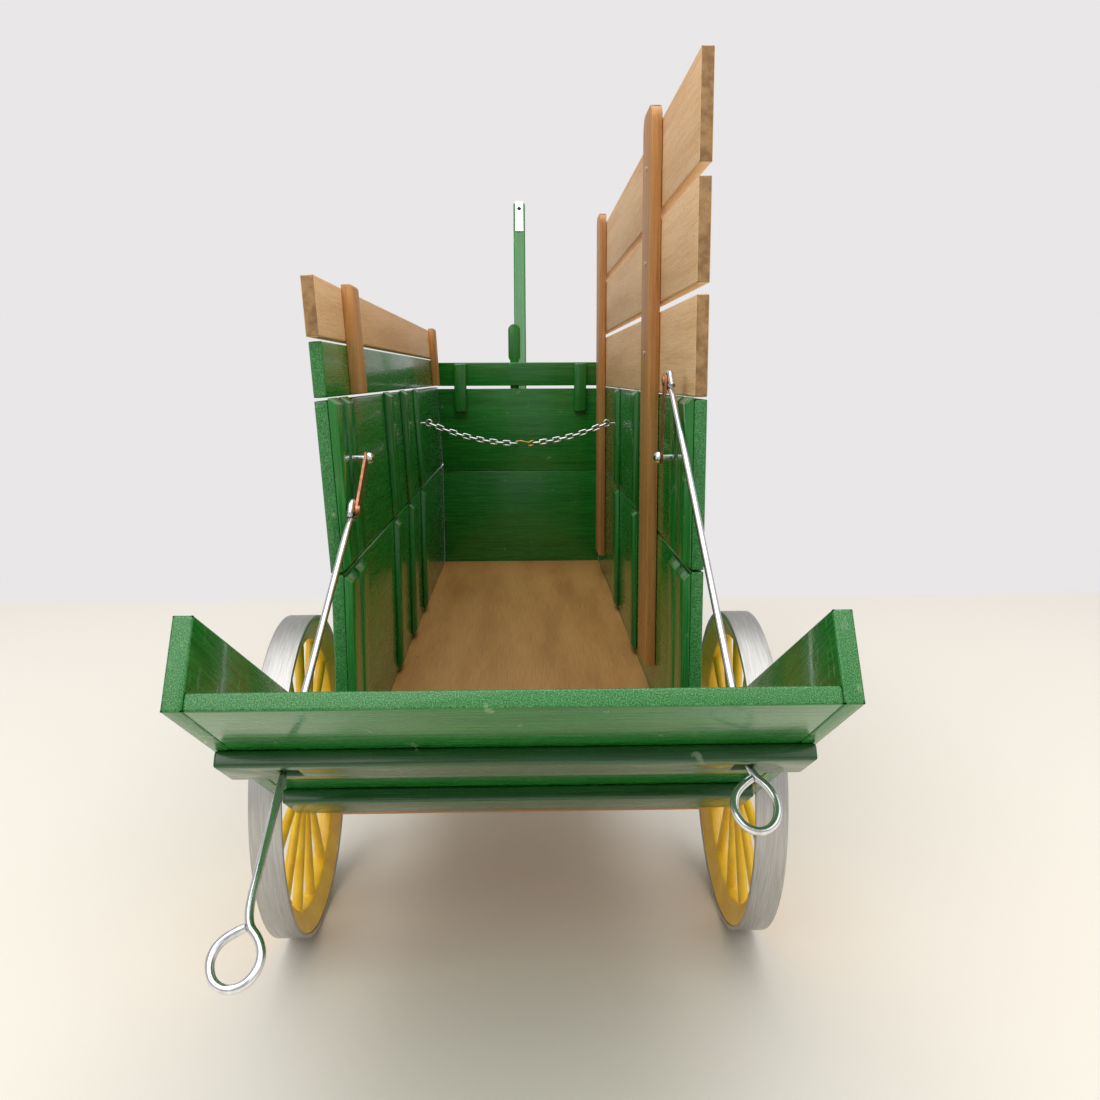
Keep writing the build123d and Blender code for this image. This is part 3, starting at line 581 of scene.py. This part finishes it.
def make_spokes(centre, middle, root, tip):
    """One round spoke with flared ends, copied round the hub."""
    bpy.ops.object.select_all(action="DESELECT")
    bpy.ops.mesh.primitive_cone_add(vertices=18, radius1=SPOKE_ROOT_R, radius2=SPOKE_TIP_R,
                                    depth=tip - root,
                                    location=(middle, centre.y, centre.z + (root + tip) / 2))
    bpy.ops.object.transform_apply(location=True, rotation=True, scale=True)
    spoke = bpy.context.object
    bpy.ops.object.mode_set(mode="EDIT")
    for rise in (1, -1):
        select_faces(spoke, lambda normal: normal.z * rise > 0.9)
        bpy.ops.mesh.extrude_region_move(TRANSFORM_OT_translate={"value": (0, 0, rise * FLARE)})
        bpy.ops.transform.resize(value=(1.5, 1.5, 1))
    bpy.ops.object.mode_set(mode="OBJECT")
    copies = []
    for i in range(1, SPOKES):
        copy = spoke.copy()
        copy.data = spoke.data.copy()
        turn = Matrix.Rotation(2 * pi * i / SPOKES, 4, "X")
        copy.data.transform(Matrix.Translation(centre) @ turn @ Matrix.Translation(-centre))
        bpy.context.scene.collection.objects.link(copy)
        copies.append(copy)
    for piece in copies + [spoke]:
        piece.select_set(True)
    bpy.context.view_layer.objects.active = spoke
    bpy.ops.object.join()
    return spoke


def mirrored(piece):
    """The left-hand twin of a right-hand piece, with its faces turned outwards again."""
    twin = piece.copy()
    twin.data = piece.data.copy()
    twin.data.transform(Matrix.Scale(-1, 4, ACROSS))
    twin.data.flip_normals()
    bpy.context.scene.collection.objects.link(twin)
    return twin


def felloe_outline(inner, outer, middle, band):
    """Section of the rim, square under the tyre and narrowing towards the hub."""
    inner_side, outer_side = inner + FELLOE_LIP, outer - FELLOE_LIP
    return [(inner_side, band), (outer_side, band), (outer_side, band - FELLOE_SQUARE),
            (middle + FELLOE_FLAT, band - FELLOE_DEPTH), (middle - FELLOE_FLAT, band - FELLOE_DEPTH),
            (inner_side, band - FELLOE_SQUARE)]


def hub_outline(hub_in, hub_out, middle):
    """Section of the hub, a barrel with a raised ring that the spokes enter."""
    return [(hub_in, BORE_R), (hub_in, HUB_END_R), (hub_in + 3 * MM, HUB_NECK_R),
            (middle - 5 * MM, HUB_WAIST_R), (middle - 4 * MM, HUB_RING_R),
            (middle + 4 * MM, HUB_RING_R), (middle + 5 * MM, HUB_WAIST_R),
            (hub_out - 4 * MM, HUB_NOSE_R), (hub_out - 2 * MM, HUB_CAP_R), (hub_out, HUB_FACE_R),
            (hub_out, BORE_R)]


def make_wheel_pair(where, plastic, tyre_metal):
    """Right-hand tyre and wheel of one axle, modelled once and mirrored for the left."""
    low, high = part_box(where + "_right_tyre")
    hub_low, hub_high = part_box(where + "_right_wheel")
    centre = Vector((0, (low.y + high.y) / 2, (low.z + high.z) / 2))
    radius = (high.z - low.z) / 2
    inner, outer = low.x, high.x
    band = radius - TYRE_T
    middle = (inner + outer) / 2
    tyre = turned([(inner, radius), (outer, radius), (outer, band), (inner, band)], centre, 0.5 * MM)
    wheel = turned(felloe_outline(inner, outer, middle, band), centre, 0.9 * MM)
    boss = turned(hub_outline(hub_low.x, hub_high.x, middle), centre, 0.4 * MM)
    spokes = make_spokes(centre, middle, SPOKE_START, band - SPOKE_STOP)
    join_solids(spokes, boss)
    join_solids(wheel, spokes)
    shade(tyre)
    shade(wheel)
    pairs = {"right": (tyre, wheel), "left": (mirrored(tyre), mirrored(wheel))}
    for side, (band_piece, wheel_piece) in pairs.items():
        name = f"{where}_{side}"
        finish_piece(band_piece, name + "_rolled_tyre", name + "_wheel_set", tyre_metal,
                     [name + "_tyre"])
        finish_piece(wheel_piece, name + "_spoked_wheel", name + "_wheel_set", plastic,
                     [name + "_wheel"])


def make_wheels():
    """Yellow plastic wheels in grey aluminium tyres, whose fine brush lines run round the rim."""
    plastic = moulded_yellow_plastic()
    tyre_metal = metal_finish("brushed_aluminium_tyre", "#C4C3C0", "#AFAEAB", 0.38, 0.5,
                              (0.5, 18, 18), 0.2)
    for where in ("rear", "front"):
        make_wheel_pair(where, plastic, tyre_metal)


# ---------------------------------------------------------------- deck nails
NAIL_R, NAIL_HEAD = 1.1 * MM, 0.8 * MM
NAIL_SINK = 0.25 * MM           # from the deck's top to the middle of the head
NAIL_RIM, NAIL_DISH, DISH_DEPTH = 0.25 * MM, 0.3 * MM, 0.2 * MM
NAIL_INSET = 9 * MM             # from the deck's long edges
NAILS_FROM_FRONT = (22 * MM, 60 * MM, 200 * MM)
NAILS_FROM_REAR = (230 * MM, 120 * MM)


def drive_deck_nails(steel):
    """Round nail heads along both edges of the deck, punched almost flush, with a dished top."""
    low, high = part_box("floor_panel")
    rows = [high.y - gap for gap in NAILS_FROM_FRONT] + [low.y + gap for gap in NAILS_FROM_REAR]
    heads = []
    for x in (low.x + NAIL_INSET, high.x - NAIL_INSET):
        for y in rows:
            bpy.ops.object.select_all(action="DESELECT")
            bpy.ops.mesh.primitive_cylinder_add(vertices=16, radius=NAIL_R, depth=NAIL_HEAD,
                                                location=(x, y, high.z - NAIL_SINK))
            bpy.ops.object.transform_apply(location=True, rotation=True, scale=True)
            head = bpy.context.object
            bpy.ops.object.mode_set(mode="EDIT")
            select_faces(head, lambda normal: normal.z > 0.9)
            bpy.ops.mesh.inset(thickness=NAIL_RIM, depth=0)
            bpy.ops.mesh.inset(thickness=NAIL_DISH, depth=-DISH_DEPTH)
            bpy.ops.object.mode_set(mode="OBJECT")
            heads.append(head)
    bpy.ops.object.select_all(action="DESELECT")
    for head in heads:
        head.select_set(True)
    bpy.context.view_layer.objects.active = heads[0]
    bpy.ops.object.join()
    shade(heads[0])
    finish_piece(heads[0], "deck_nails", "box", steel)


set_camera()
light_studio()
lay_floor()
dress_wood()
zinc, steel = dress_metal()
ease_boards([name for names in GREEN_PARTS.values() for name in names], PAINTED_EDGE)
ease_boards(BATTENS, PAINTED_EDGE)
ease_boards(["tailboard_panel", *EXTENSION_BOARDS, *POSTS, "rear_bolster"], BARE_EDGE)
make_stay_rods(zinc)
make_wheels()
drive_deck_nails(steel)
